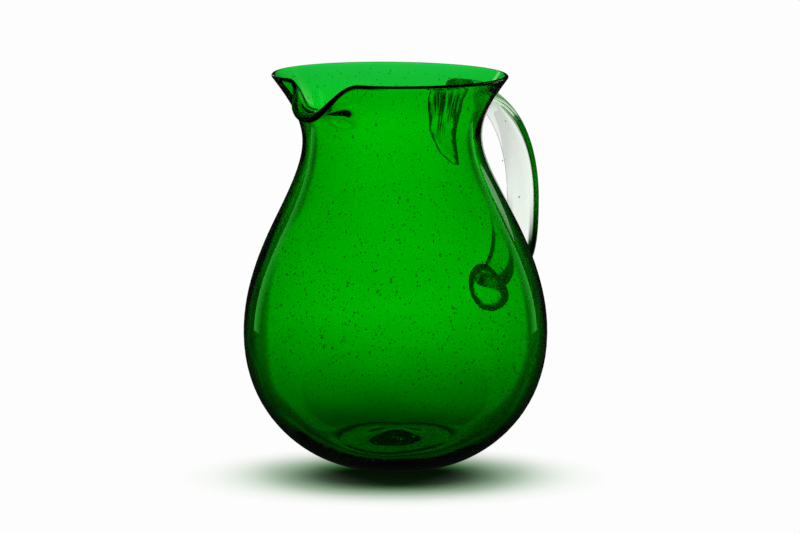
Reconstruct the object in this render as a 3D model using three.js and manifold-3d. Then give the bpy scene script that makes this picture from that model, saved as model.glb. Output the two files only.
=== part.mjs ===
// Hand-blown pitcher of green bubble glass, with an applied strap handle of clear glass.
// Millimetres, +Z up. The spout points along -X and the handle along +X. The origin is on the
// surface that the pitcher stands on, under the middle of its bounding box.
import * as THREE from 'three';
import { mergeVertices } from 'three/addons/utils/BufferGeometryUtils.js';
import Module from 'manifold-3d';

// Heights of the blown vessel, from the foot up, each measured from the one before
const bowlHeight = 68;           // foot to the widest level of the belly
const shoulderHeight = 103;      // widest level to the narrowest level of the neck
const flareHeight = 30.7;        // neck to the lower edge of the rounded rim

// Outside radii of the vessel
const bellyRadius = 79.8;
const neckRadius = 46.6;
const rimRadius = 60.5;
const footRadius = 30;           // outer edge of the flat ring that the pitcher stands on
const footRingWidth = 6.5;

// How full the outline is: the lengths of its curve handles
const footFullness = 9.2;
const bowlFullness = 49.6;
const shoulderFullness = 45.8;
const neckFullnessBelow = 24.2;
const neckFullnessAbove = 12.4;
const rimFullness = 10.7;
const rimSlope = 54;             // degrees above level at which the wall reaches the rim

// Glass thickness
const baseThickness = 9;
const bellyThickness = 5;
const neckThickness = 4.2;
const rimThickness = 4;
const puntHeight = 5;            // the kick-up inside the foot ring
const floorCrown = 1.5;          // what the kick-up lifts the floor inside

// The mouth: off centre towards the spout
const mouthShift = 4.1;
const shiftStart = 62;           // height above the widest level from which the mouth is off centre
const mouthTip = 0.5;            // and a little higher there, by this to each side of level
const mouthTipAngle = 45;        // degrees from the spout to where the mouth is highest

// The spout, drawn down by hand, so its two flanks differ. Angles are degrees from its middle
const spoutDrop = 18.5;          // how far the lip is drawn down
const spoutReach = 2.4;          // how far it is drawn out
const spoutGentleAngle = 27;     // where the flank towards -Y begins
const spoutSteepAngle = 17.5;    // where the flank towards +Y begins
const shoulderRise = 1.8;        // the rim stands up beside the steep flank
const shoulderAngle = 24;
const shoulderHalfAngle = 12;
const gentlePinch = 1.8;         // depth of the folds where the drawn lip leaves the round mouth
const steepPinch = 3.4;
const pinchHalfAngle = 11;
const pinchDrop = 11;            // rim to the middle of the folds
const spoutCurl = 2.4;           // 1 bends the whole flare alike, more only what lies near the lip

// The handle, a strap drawn out of one gather and pressed on at both ends
const handleStandoff = 23.1;     // belly to the strap's centre line where it stands out furthest
const handleDrop = 8;            // rim to the centre of the strap's upper end
const footPadRise = 13;          // widest level of the belly to the centre of the lower pad
const widestRise = 45;           // lower pad to where the strap stands out furthest
const strapWidth = 21.5;
const strapThickness = 5.8;
const strapRootWidth = 20;
const strapRootThickness = 8.5;
const strapSquareness = 2.7;     // 2 is an ellipse, more is squarer
const rootLength = 40;           // over which the strap takes on its own section, from each end

// How full the strap's line is: the lengths of its curve handles
const strapTopFullness = 28;
const strapTopSink = 3.2;        // what the line drops over that length
const strapOverFullness = 39;
const strapBackFullness = 32;
const strapFootFullness = 19;
const strapFootRise = 10;        // the strap comes down on its pad, from this far above

// The pads that the strap ends in
const tongueLength = 43;         // the upper pad, from the strap's upper end down the neck
const tongueThickness = 4.6;
const tongueEdgePlusY = [3, 10.5, 15, 15.5, 15.5, 9];    // its reach to each side, up from its tip
const tongueEdgeMinusY = [2.5, 4.5, 6.5, 10, 13, 9];
const footPadWidth = 30;
const footPadLength = 29;
const footPadThickness = 4.4;
const seatGap = 0.3;             // between handle and vessel

// How finely the round forms are cut
const sidesAround = 80;
const stepsPerCurve = 9;
const strapSteps = 36;
const sectionSides = 16;
const padSteps = 14;
const domeSteps = 4;
const lipSteps = 5;

const rimHeight = bowlHeight + shoulderHeight + flareHeight;
const neckHeight = bowlHeight + shoulderHeight;
const handleReach = bellyRadius + handleStandoff;
const vesselX = (bellyRadius - handleReach - strapThickness / 2) / 2;

const wasm = await Module();
wasm.setup();

function smooth(from, to, value) {
  return THREE.MathUtils.smoothstep(value, from, to);
}

// 1 at the centre, falling like a wave to 0 at the given distance
function hump(distance, halfWidth) {
  return Math.abs(distance) < halfWidth ? 0.5 + 0.5 * Math.cos(Math.PI * distance / halfWidth) : 0;
}

// A cubic curve from its four points, given as pairs of numbers
function bezier(...numbers) {
  const points = [];
  for (let i = 0; i < numbers.length; i += 2) {
    points.push(new THREE.Vector2(numbers[i], numbers[i + 1]));
  }
  return new THREE.CubicBezierCurve(...points);
}

// The outline of the wall outside, in three curves from the foot ring to the rim
const slope = THREE.MathUtils.degToRad(rimSlope);
const bowlCurve = bezier(
  footRadius, 0,
  footRadius + footFullness, 0,
  bellyRadius, bowlHeight - bowlFullness,
  bellyRadius, bowlHeight);
const shoulderCurve = bezier(
  bellyRadius, bowlHeight,
  bellyRadius, bowlHeight + shoulderFullness,
  neckRadius, neckHeight - neckFullnessBelow,
  neckRadius, neckHeight);
const flareCurve = bezier(
  neckRadius, neckHeight,
  neckRadius, neckHeight + neckFullnessAbove,
  rimRadius - rimFullness * Math.cos(slope), rimHeight - rimFullness * Math.sin(slope),
  rimRadius, rimHeight);

// Profile points are radius, height and station: the height on the outline that they belong to,
// because the whole thickness of the wall moves with its outside when the mouth is worked

// A point of the wall, set in from the outline by a depth, which is negative outside
function wallPoint(curve, t, depth) {
  const tangent = curve.getTangent(t);
  const point = curve.getPoint(t);
  return new THREE.Vector3(point.x - tangent.y * depth, point.y + tangent.x * depth, point.y);
}

const bowlDepth = (t) => bellyThickness + (baseThickness - bellyThickness) * (1 - t) ** 3;
const shoulderDepth = (t) => THREE.MathUtils.lerp(bellyThickness, neckThickness, t);
const flareDepth = (t) => THREE.MathUtils.lerp(neckThickness, rimThickness, t);
const wall = [[bowlCurve, bowlDepth], [shoulderCurve, shoulderDepth], [flareCurve, flareDepth]];

// The outline from foot to rim at some share of the wall's depth, or a fixed distance outside it
function wallPoints(share, outside = 0) {
  const points = [];
  for (const [curve, depth] of wall) {
    for (let step = points.length ? 1 : 0; step <= stepsPerCurve; step++) {
      const t = step / stepsPerCurve;
      points.push(wallPoint(curve, t, share * depth(t) - outside));
    }
  }
  return points;
}

// The rounded lip between the outside and the inside of the wall
function lipPoints() {
  const radius = rimThickness / 2;
  const centre = wallPoint(flareCurve, 1, radius);
  const along = flareCurve.getTangent(1);
  const points = [];
  for (let step = 1; step < lipSteps; step++) {
    const turn = Math.PI * step / lipSteps;
    const out = radius * Math.cos(turn);
    const over = radius * Math.sin(turn);
    points.push(new THREE.Vector3(
      centre.x + along.y * out + along.x * over,
      centre.y - along.x * out + along.y * over,
      rimHeight));
  }
  return points;
}

// A shallow dome from the axis out to a radius, as points that leave out that last one
function domePoints(radius, edgeHeight, rise) {
  const points = [];
  for (let step = 0; step < domeSteps; step++) {
    const share = step / domeSteps;
    const height = edgeHeight + rise * Math.cos(share * Math.PI / 2);
    points.push(new THREE.Vector3(radius * share, height, 0));
  }
  return points;
}

// From the round form to the real one: a place given by its angle from the spout, its radius, its
// height and its station moves as the hot mouth was worked
function formed(angle, radius, height, station = height) {
  const degrees = THREE.MathUtils.radToDeg(angle);
  const steep = degrees > 0;
  const flank = steep ? spoutSteepAngle : spoutGentleAngle;
  const worked = Math.max(0, (station - neckHeight) / flareHeight) ** spoutCurl;
  const spout = hump(degrees, flank) ** (steep ? 0.6 : 1);
  const fold = (steep ? steepPinch : gentlePinch) * hump(Math.abs(degrees) - flank, pinchHalfAngle)
    * hump(rimHeight - pinchDrop - station, 2 * pinchDrop);
  const shoulder = shoulderRise * hump(degrees - shoulderAngle, shoulderHalfAngle);
  const lean = smooth(bowlHeight + shiftStart, rimHeight, station);
  const tip = mouthTip * Math.cos(angle - THREE.MathUtils.degToRad(mouthTipAngle)) * lean;
  const r = radius + spoutReach * spout * worked - fold;
  return new THREE.Vector3(
    vesselX - r * Math.cos(angle) - mouthShift * lean,
    r * Math.sin(angle),
    height + tip + (shoulder - spoutDrop * spout) * worked);
}

// Turns a profile round the axis and forms the mouth
function turned(profile) {
  const geometry = new THREE.LatheGeometry(profile, sidesAround);
  geometry.rotateX(Math.PI / 2);
  const { position, uv } = geometry.attributes;
  const point = new THREE.Vector3();
  for (let i = 0; i < position.count; i++) {
    const station = profile[Math.round(uv.getY(i) * (profile.length - 1))].z;
    point.fromBufferAttribute(position, i);
    const radius = Math.hypot(point.x, point.y);
    point.copy(formed(Math.atan2(point.y, -point.x), radius, point.z, station));
    position.setXYZ(i, point.x, point.y, point.z);
  }
  return closed(geometry);
}

// One closed body: vertices merged, seams and poles gone
function closed(geometry) {
  geometry.deleteAttribute('normal');
  geometry.deleteAttribute('uv');
  return mergeVertices(geometry, 1e-3);
}

function solid(geometry) {
  return new wasm.Manifold(new wasm.Mesh({
    numProp: 3,
    vertProperties: new Float32Array(geometry.attributes.position.array),
    triVerts: new Uint32Array(geometry.index.array),
  }));
}

function geometryOf(manifold) {
  const mesh = manifold.getMesh();
  const geometry = new THREE.BufferGeometry();
  geometry.setAttribute('position', new THREE.BufferAttribute(mesh.vertProperties, 3));
  geometry.setIndex(new THREE.BufferAttribute(mesh.triVerts, 1));
  geometry.computeVertexNormals();
  return geometry;
}

// The vessel: one wall from the kick-up under the foot, up over the lip and down to the floor
function vesselGeometry() {
  const footInner = footRadius - footRingWidth;
  const profile = [
    ...domePoints(footInner, 0, puntHeight),
    new THREE.Vector3(footInner, 0, 0),
    ...wallPoints(0),
    ...lipPoints(),
    ...wallPoints(1).reverse(),
    ...domePoints(footRadius, baseThickness, floorCrown).reverse(),
  ];
  const geometry = turned(profile);
  geometry.computeVertexNormals();
  return geometry;
}

// The space that the handle has to leave free: the vessel filled up, with the gap round it
function seatSolid() {
  const outside = wallPoints(0, seatGap);
  const top = outside[outside.length - 1];
  return solid(turned([
    new THREE.Vector3(0, -seatGap, 0),
    ...outside,
    new THREE.Vector3(top.x, top.y + seatGap, rimHeight),
    new THREE.Vector3(0, top.y + seatGap, rimHeight),
  ]));
}

// Joins rings of equal length into one closed body, each end closed by a point
function loft(rings) {
  const sides = rings[0].length;
  const positions = [];
  const index = [];
  for (const ring of rings) {
    for (const point of ring) {
      positions.push(point.x, point.y, point.z);
    }
  }
  for (let ring = 0; ring + 1 < rings.length; ring++) {
    for (let side = 0; side < sides; side++) {
      const a = ring * sides + side;
      const b = ring * sides + (side + 1) % sides;
      index.push(a, b, b + sides, a, b + sides, a + sides);
    }
  }
  for (const end of [0, rings.length - 1]) {
    const middle = new THREE.Vector3();
    rings[end].forEach((point) => middle.addScaledVector(point, 1 / sides));
    const tip = positions.length / 3;
    positions.push(middle.x, middle.y, middle.z);
    for (let side = 0; side < sides; side++) {
      const a = end * sides + side;
      const b = end * sides + (side + 1) % sides;
      index.push(...(end === 0 ? [b, a, tip] : [a, b, tip]));
    }
  }
  const geometry = new THREE.BufferGeometry();
  geometry.setAttribute('position', new THREE.Float32BufferAttribute(positions, 3));
  geometry.setIndex(index);
  return geometry;
}

// One ring of a rounded flat section: how far across and how far through at each side
function sectionRing(width, thickness, squareness, place) {
  const ring = [];
  for (let side = 0; side < sectionSides; side++) {
    const turn = 2 * Math.PI * side / sectionSides;
    const across = Math.sign(Math.cos(turn)) * Math.abs(Math.cos(turn)) ** (2 / squareness);
    const through = Math.sign(Math.sin(turn)) * Math.abs(Math.sin(turn)) ** (2 / squareness);
    ring.push(place(across * width / 2, through * thickness / 2));
  }
  return ring;
}

// The outside radius of the vessel at a height
function outsideRadius(height) {
  const curves = [bowlCurve, shoulderCurve, flareCurve];
  const curve = curves.find((c) => c.getPoint(1).y >= height) ?? flareCurve;
  let low = 0;
  let high = 1;
  for (let turn = 0; turn < 30; turn++) {
    const middle = (low + high) / 2;
    if (curve.getPoint(middle).y < height) low = middle; else high = middle;
  }
  return curve.getPoint(low).x;
}

// A place on the handle side of the vessel: across it, up it, and off its surface
function onVessel(across, height, off) {
  const radius = outsideRadius(height);
  return formed(Math.PI + across / radius, radius + off, height);
}

// The strap's centre line, in the plane of symmetry: out of the flare, over and down beside the
// neck, and back in to the belly. Both ends lie inside the wall, where the seat cuts them off
function strapLine() {
  const top = onVessel(0, rimHeight - handleDrop, -neckThickness);
  const foot = onVessel(0, bowlHeight + footPadRise, -bellyThickness);
  const reach = vesselX + handleReach;
  const widest = foot.z + widestRise;
  const line = new THREE.CurvePath();
  line.add(bezier(
    top.x, top.z,
    top.x + neckThickness + strapTopFullness, top.z - strapTopSink,
    reach, widest + strapOverFullness,
    reach, widest));
  line.add(bezier(
    reach, widest,
    reach, widest - strapBackFullness,
    foot.x + bellyThickness + strapFootFullness, foot.z + strapFootRise,
    foot.x, foot.z));
  return line;
}

function strapSolid() {
  const line = strapLine();
  const length = line.getLength();
  const rings = [];
  for (let step = 0; step <= strapSteps; step++) {
    const share = step / strapSteps;
    const centre = line.getPoint(share);
    const tangent = line.getTangent(share);
    const root = 1 - smooth(0, rootLength, length * Math.min(share, 1 - share));
    const width = THREE.MathUtils.lerp(strapWidth, strapRootWidth, root);
    const thickness = THREE.MathUtils.lerp(strapThickness, strapRootThickness, root);
    rings.push(sectionRing(width, thickness, strapSquareness, (across, through) => new THREE.Vector3(
      centre.x + tangent.y * through,
      -across,
      centre.y - tangent.x * through)));
  }
  return solid(loft(rings));
}

// A pad pressed on to the vessel, from its low end up. Half of it lies under the surface and is cut
// away by the seat. edges(share) gives how far it reaches towards +Y and -Y
function padSolid(lowHeight, length, thickness, edges) {
  const rings = [];
  for (let step = 0; step <= padSteps; step++) {
    const share = 0.5 - 0.48 * Math.cos(Math.PI * step / padSteps);
    const [plus, minus] = edges(share);
    const round = Math.sin(Math.PI * share) ** 0.4;
    rings.push(sectionRing(plus + minus, 2 * thickness * round, 2.2,
      (across, off) => onVessel(across + (minus - plus) / 2, lowHeight + length * share, off)));
  }
  return solid(loft(rings));
}

// A smooth line through values at equal steps
function spline(values) {
  const curve = new THREE.SplineCurve(values.map((value, i) => new THREE.Vector2(i, value)));
  return (share) => curve.getPoint(share).y;
}

function handleGeometry() {
  const plusEdge = spline(tongueEdgePlusY);
  const minusEdge = spline(tongueEdgeMinusY);
  const tongue = padSolid(rimHeight - handleDrop - tongueLength, tongueLength, tongueThickness,
    (share) => [plusEdge(share), minusEdge(share)]);
  const footEdge = (share) => footPadWidth / 2 * Math.sin(Math.PI * share) ** 0.5;
  const footPad = padSolid(bowlHeight + footPadRise - footPadLength / 2, footPadLength,
    footPadThickness, (share) => [footEdge(share), footEdge(share)]);
  return geometryOf(strapSolid().add(tongue).add(footPad).subtract(seatSolid()));
}

const greenGlass = new THREE.MeshStandardMaterial({ color: 0x0a9a10, roughness: 0.05, metalness: 0 });
const clearGlass = new THREE.MeshStandardMaterial({ color: 0xe4efe4, roughness: 0.05, metalness: 0 });

const vessel = new THREE.Mesh(vesselGeometry(), greenGlass);
vessel.name = 'vessel';

const handle = new THREE.Mesh(handleGeometry(), clearGlass);
handle.name = 'handle';

const pitcher = new THREE.Group();
pitcher.add(vessel, handle);

export default pitcher;
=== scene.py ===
import math
import bpy
import numpy as np
from mathutils import Matrix, Vector, noise


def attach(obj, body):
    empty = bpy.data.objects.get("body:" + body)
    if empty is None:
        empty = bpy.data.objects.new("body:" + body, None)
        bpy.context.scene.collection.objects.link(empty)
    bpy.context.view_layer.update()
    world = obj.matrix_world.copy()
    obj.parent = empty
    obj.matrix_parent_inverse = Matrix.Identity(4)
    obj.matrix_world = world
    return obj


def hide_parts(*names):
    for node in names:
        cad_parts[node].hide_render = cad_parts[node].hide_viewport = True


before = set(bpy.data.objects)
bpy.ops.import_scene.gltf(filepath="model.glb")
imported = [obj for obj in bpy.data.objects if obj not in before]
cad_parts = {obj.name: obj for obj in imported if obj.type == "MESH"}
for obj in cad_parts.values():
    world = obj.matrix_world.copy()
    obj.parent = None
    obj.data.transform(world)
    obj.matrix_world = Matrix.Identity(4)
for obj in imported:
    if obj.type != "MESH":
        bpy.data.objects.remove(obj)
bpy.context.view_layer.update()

MM = 0.001

# Heights of the blown vessel, from the foot up
BOWL_HEIGHT = 68
SHOULDER_HEIGHT = 103
FLARE_HEIGHT = 31.8
NECK_HEIGHT = BOWL_HEIGHT + SHOULDER_HEIGHT
RIM_HEIGHT = NECK_HEIGHT + FLARE_HEIGHT

# Outside radii
BELLY_RADIUS = 79.8
NECK_RADIUS = 46.6
RIM_RADIUS = 60.9
FOOT_RADIUS = 30
FOOT_RING_WIDTH = 6.5

# Glass thickness
BASE_THICKNESS = 9
BELLY_THICKNESS = 5
NECK_THICKNESS = 4.2
RIM_THICKNESS = 2.2
LIP_SINK = 0.2             # how much flatter than round the fire-polished lip is
LIP_STEPS = 14
LIP_GATHER = 0.6           # how much more glass there is in the spout's lip
LIP_SHADE_ANGLES = (30, 42)             # where its painted shade fades, off the spout's middle
FOLD = 1.9                 # the ridge inside the wall under the spout's gentle flank
FOLD_ANGLE = -14
FOLD_HALF_ANGLE = 14
FOLD_DROP = 17
FOLD_HALF_LENGTH = 7
MOUTH_HEIGHTS = (182, 196)             # between them the wall turns into the thin, light mouth
PUNT_HEIGHT = 4            # the kick-up under the foot
FLOOR_CROWN = 5            # the push-up, a mound in the middle of the floor
MOUND_RADIUS = 20
SCAR_SHADE_RADII = (21, 24, 30, 36)
SCAR_SHADE_LEVELS = (1, 0.6, 0.5, 0)         # how dark the pontil's scar and the painted shade over the foot are at those radii
WAVE = 0.35                # how far the inside of a blown wall wanders
WAVE_LENGTH = 24
CALM_FLOOR, CALM_RIM = 14, 10          # how near to the floor and the rim it comes to rest
DRAWN_FROM = 0.4 * BOWL_HEIGHT         # above this the glass was drawn out more and more

# The mouth and the drawn spout; angles are degrees from the middle of the spout
MOUTH_SHIFT = 4.1          # how far the neck leans towards the spout
SHIFT_START = 62           # above the belly
MOUTH_TIP = 0.5            # how much higher one side of the rim stands
MOUTH_TIP_ANGLE = 45
SPOUT_MIDDLE = -2.7
SPOUT_DROP = 18
SPOUT_REACH = 0.5
SPOUT_GENTLE_ANGLE = 25
SPOUT_STEEP_ANGLE = 22.7
STEEP_FULLNESS = 1.57      # 1 is an even flank; the more, the steeper its outer end
SPOUT_CURL = 3.1           # the higher, the nearer to the rim the wall curls over
STEEP_PINCH = 3.9
STEEP_PINCH_ANGLE = 16.3
STEEP_PINCH_HALF_ANGLE = 8.6
STEEP_PINCH_LENGTH = 16
GENTLE_PINCH = 1.8
GENTLE_PINCH_ANGLE = -27
GENTLE_PINCH_HALF_ANGLE = 11
GENTLE_PINCH_DROP = 11
SPOUT_ARC, ARC_STEPS = 45, 72          # the wall's finer steps at the spout, on either side of it

# How far the profile's curves follow the direction that they start or end in
FOOT_PULL = 9.2
BELLY_PULL_DOWN = 49.6
BELLY_PULL_UP = 45.8
NECK_PULL_DOWN = 24.2
NECK_PULL_UP = 12.4
RIM_PULL = 10.7

# The strap handle and the two pads that it ends in
HANDLE_REACH = BELLY_RADIUS + 23.1
HANDLE_DROP = 9.1          # from the rim down to the tongue's top
FOOT_PAD_RISE = 13         # from the belly's widest place up to the foot pad's middle
WIDEST_RISE = 45           # from there up to the strap's widest place
STRAP_WIDTH = 21.5
STRAP_THICKNESS = 5.8
STRAP_ROOT_WIDTH = 20
STRAP_ROOT_THICKNESS = 8.5
STRAP_SQUARENESS = 3.4
PAD_SQUARENESS = 2.3
PAD_SPAN = 0.96            # how much of its length a pad's rings take up
PAD_ROUNDING = 0.3         # the lower, the blunter its ends
STRAP_POLISH = 0.05        # what fire polishing takes off its thickness
ROOT_LENGTH = 40
TONGUE_LENGTH = 43
TONGUE_THICKNESS = 4.6
TONGUE_WRINKLE = 2.2       # how far its face was drawn into ridges at the top
WRINKLE_WIDTH, WRINKLES_ALONG, WRINKLE_START = 2.6, 3, (0.35, 0.7)
TONGUE_EDGE_PLUS_Y = [3, 10.5, 15, 15.5, 15.5, 9]
TONGUE_EDGE_MINUS_Y = [2.5, 4.5, 6.5, 10, 13, 9]
FOOT_PAD_WIDTH = 30
FOOT_PAD_LENGTH = 29
FOOT_PAD_THICKNESS = 4.4
SEAT_GAP = 0.3
TOP_PULL, TOP_FALL = 28, 3.2           # how the strap leaves the neck
WIDEST_PULL_UP, WIDEST_PULL_DOWN = 39, 32
FOOT_PULL_OUT, FOOT_PULL_UP = 19, 10
SECTION_STEPS = 48
MELT_SIZE, MELT_ROUNDS = 0.6, 10       # how the joined handle's edges melt into each other

# The ranges over which the thick handle's painted shade and painted green reflection come in, in mm
# but for the shares
PRESSED_DEPTH = (4.6, 6)               # off the vessel: nearer lie the pads, further the strap
HANDLE_MIDDLE = 125
MARK_GRAIN = 3                         # the size of what makes the lines uneven
FOOT_RING_SHARE, FOOT_RING_UNEVEN = (0.33, 0.39), 0.05
PLUS_Y_LINE, MINUS_Y_LINE = (0.9, 1.8), (2.4, 4.0)
RIDGE_WIDTH, RIDGE_LENGTH, RIDGE_SHARE = 2.2, 16, (0.03, 0.22)
RIDGES_START, RIDGES_END = (160, 172), (183, 187)
ROOT_SIDE, ROOT_END = (6.6, 8), (104, 134)
MARKS_END = (184, 188)
REFLECTION_FACING, REFLECTION_OFF, REFLECTION_END = (0.3, 0.9), (4.5, 6.5), (166, 178)

VESSEL_X = (BELLY_RADIUS - HANDLE_REACH - STRAP_THICKNESS / 2) / 2


# Shape of the blown wall

def smooth(low, high, value):
    """From 0 at the low end to 1 at the high one, with soft turns."""
    share = np.clip((value - low) / (high - low), 0, 1)
    return share * share * (3 - 2 * share)


def hump(distance, half_width):
    """A round hump, 1 in its middle and 0 from its half width on."""
    inside = np.abs(distance) < half_width
    return np.where(inside, 0.5 + 0.5 * np.cos(np.pi * distance / half_width), 0)


class Curve:
    """A cubic curve from its four points."""

    def __init__(self, *points):
        self.points = np.array(points, float)

    def point(self, t):
        t = np.asarray(t, float)[..., None]
        a, b, c, d = self.points
        return (1 - t) ** 3 * a + 3 * (1 - t) ** 2 * t * b + 3 * (1 - t) * t ** 2 * c + t ** 3 * d

    def tangent(self, t):
        t = np.asarray(t, float)[..., None]
        a, b, c, d = self.points
        way = (1 - t) ** 2 * (b - a) + 2 * (1 - t) * t * (c - b) + t ** 2 * (d - c)
        return way / np.linalg.norm(way, axis=-1, keepdims=True)


RIM_SLOPE = math.radians(54)
BOWL = Curve((FOOT_RADIUS, 0), (FOOT_RADIUS + FOOT_PULL, 0),
             (BELLY_RADIUS, BOWL_HEIGHT - BELLY_PULL_DOWN), (BELLY_RADIUS, BOWL_HEIGHT))
SHOULDER = Curve((BELLY_RADIUS, BOWL_HEIGHT), (BELLY_RADIUS, BOWL_HEIGHT + BELLY_PULL_UP),
                 (NECK_RADIUS, NECK_HEIGHT - NECK_PULL_DOWN), (NECK_RADIUS, NECK_HEIGHT))
FLARE = Curve((NECK_RADIUS, NECK_HEIGHT), (NECK_RADIUS, NECK_HEIGHT + NECK_PULL_UP),
              (RIM_RADIUS - RIM_PULL * math.cos(RIM_SLOPE),
               RIM_HEIGHT - RIM_PULL * math.sin(RIM_SLOPE)),
              (RIM_RADIUS, RIM_HEIGHT))
BOWL_STEPS, SHOULDER_STEPS, FLARE_STEPS = 24, 28, 28


def bowl_depth(t):
    return BELLY_THICKNESS + (BASE_THICKNESS - BELLY_THICKNESS) * (1 - t) ** 3


def shoulder_depth(t):
    return BELLY_THICKNESS + (NECK_THICKNESS - BELLY_THICKNESS) * t


def flare_depth(t):
    return NECK_THICKNESS + (RIM_THICKNESS - NECK_THICKNESS) * t


def wall_points(outside=0):
    """Rows of radius, height, station and wall thickness from the foot ring up to the rim."""
    rows = []
    for curve, depth, steps in ((BOWL, bowl_depth, BOWL_STEPS),
                                (SHOULDER, shoulder_depth, SHOULDER_STEPS),
                                (FLARE, flare_depth, FLARE_STEPS)):
        t = np.linspace(0, 1, steps + 1)[1 if rows else 0:]
        point, way = curve.point(t), curve.tangent(t)
        rows.append(np.stack([point[:, 0] + way[:, 1] * outside, point[:, 1] - way[:, 0] * outside,
                              point[:, 1], depth(t)], axis=1))
    return np.concatenate(rows)


def dome_points(radius, edge_height, rise, reach, steps=18):
    """Rows inside a radius, from its middle out; a mound of that reach rises in the middle."""
    share = np.arange(1, steps) / steps
    height = edge_height + rise * hump(radius * share, reach)
    return np.stack([radius * share, height, np.zeros_like(share),
                     np.full_like(share, BASE_THICKNESS)], axis=1)


def curled(angle, station):
    """How much of the spout's drop a place has, from 0 to 1 at the middle of its lip."""
    degrees = np.degrees(angle)
    steep = degrees > SPOUT_MIDDLE
    flank = np.where(steep, SPOUT_STEEP_ANGLE, SPOUT_GENTLE_ANGLE)
    across = np.minimum(1, np.abs(degrees - SPOUT_MIDDLE) / flank)
    spout = 0.5 + 0.5 * np.cos(np.pi * across ** np.where(steep, STEEP_FULLNESS, 1))
    return spout * np.maximum(0, (station - NECK_HEIGHT) / FLARE_HEIGHT) ** SPOUT_CURL


def formed(angle, radius, height, station):
    """From the round form to the real one: what the hot mouth's working moves."""
    degrees = np.degrees(angle)
    drawn = curled(angle, station)
    pinch = (STEEP_PINCH * hump(degrees - STEEP_PINCH_ANGLE, STEEP_PINCH_HALF_ANGLE)
             * hump(RIM_HEIGHT - station, STEEP_PINCH_LENGTH)
             + GENTLE_PINCH * hump(degrees - GENTLE_PINCH_ANGLE, GENTLE_PINCH_HALF_ANGLE)
             * hump(RIM_HEIGHT - GENTLE_PINCH_DROP - station, 2 * GENTLE_PINCH_DROP))
    lean = smooth(BOWL_HEIGHT + SHIFT_START, RIM_HEIGHT, station)
    tip = MOUTH_TIP * np.cos(angle - math.radians(MOUTH_TIP_ANGLE)) * lean
    r = radius + SPOUT_REACH * drawn - pinch
    return np.stack([VESSEL_X - r * np.cos(angle) - MOUTH_SHIFT * lean, r * np.sin(angle),
                     height + tip - SPOUT_DROP * drawn], axis=-1)


def angles_around():
    """Steps round the vessel, closer together at the spout, where the form turns fastest."""
    near = np.linspace(-SPOUT_ARC, SPOUT_ARC, ARC_STEPS + 1)
    far = np.linspace(SPOUT_ARC, 360 - SPOUT_ARC, ARC_STEPS + 1)[1:-1]
    degrees = np.concatenate([near, far])
    return np.radians(np.where(degrees > 180, degrees - 360, degrees))


def mesh_object(name, vertices, faces):
    mesh = bpy.data.meshes.new(name)
    mesh.from_pydata([tuple(v) for v in vertices], [], faces)
    mesh.polygons.foreach_set("use_smooth", [True] * len(mesh.polygons))
    mesh.update()
    piece = bpy.data.objects.new(name, mesh)
    bpy.context.scene.collection.objects.link(piece)
    return piece


def loft(name, rings, poles=None):
    """Joins rings of equal length into one closed body, with a pole at either end."""
    rings = np.array(rings)
    count, sides = rings.shape[:2]
    if poles is None:
        poles = rings[0].mean(axis=0), rings[-1].mean(axis=0)
    vertices = list(rings.reshape(-1, 3) * MM) + [np.array(pole) * MM for pole in poles]
    faces = []
    for ring in range(count - 1):
        for side in range(sides):
            a = ring * sides + side
            b = ring * sides + (side + 1) % sides
            faces.append((a, b, b + sides, a + sides))
    end = (count - 1) * sides
    for side in range(sides):
        faces.append((len(vertices) - 2, (side + 1) % sides, side))
        faces.append((len(vertices) - 1, end + side, end + (side + 1) % sides))
    piece = mesh_object(name, vertices, faces)
    face_out(piece)
    return piece


def face_out(piece):
    """Turns every face outwards."""
    mesh = piece.data
    points = np.array([v.co[:] for v in mesh.vertices])
    mesh.calc_loop_triangles()
    triangles = np.array([t.vertices[:] for t in mesh.loop_triangles])
    a, b, c = (points[triangles[:, i]] for i in range(3))
    if np.einsum("ij,ij->i", a, np.cross(b, c)).sum() < 0:
        mesh.flip_normals()


def rings_of(rows):
    """A profile's rows as rings of points round the vessel."""
    radius, height, station = (rows[:, i][:, None] for i in range(3))
    return formed(angles_around()[None, :], radius, height, station)


def write_mark(piece, name, values, kind="FLOAT", domain="POINT"):
    """Keeps a value at each point or face of a piece, for its material or its bubbles."""
    piece.data.attributes.new(name, kind, domain).data.foreach_set("value", values)


def unit(vectors):
    return vectors / np.linalg.norm(vectors, axis=-1, keepdims=True)


def wandering(points, station):
    """How far the inside of the blown wall wanders; it comes to rest at the rim and the floor."""
    calm = smooth(0, CALM_FLOOR, station) * (1 - smooth(RIM_HEIGHT - CALM_RIM, RIM_HEIGHT, station))
    off = [[noise.noise(Vector(point) / WAVE_LENGTH) for point in ring] for ring in points]
    return WAVE * calm[:, None] * np.array(off)


def wall_depth(rows):
    """How thick the wall is at each point, with the spout's gathered lip and the fold inside."""
    angles, station = angles_around()[None, :], rows[:, 2][:, None]
    gathered = 1 + LIP_GATHER * curled(angles, station)
    fold = (FOLD * hump(np.degrees(angles) - FOLD_ANGLE, FOLD_HALF_ANGLE)
            * hump(RIM_HEIGHT - FOLD_DROP - station, FOLD_HALF_LENGTH))
    return rows[:, 3][:, None] * gathered + fold


def mark_mouth(vessel, levels):
    """Marks the thin mouth, also where the spout is drawn down from it."""
    mouth = np.zeros(len(vessel.data.vertices))
    mouth[:-2] = np.repeat(levels, len(angles_around()))
    write_mark(vessel, "mouth", mouth)


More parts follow.
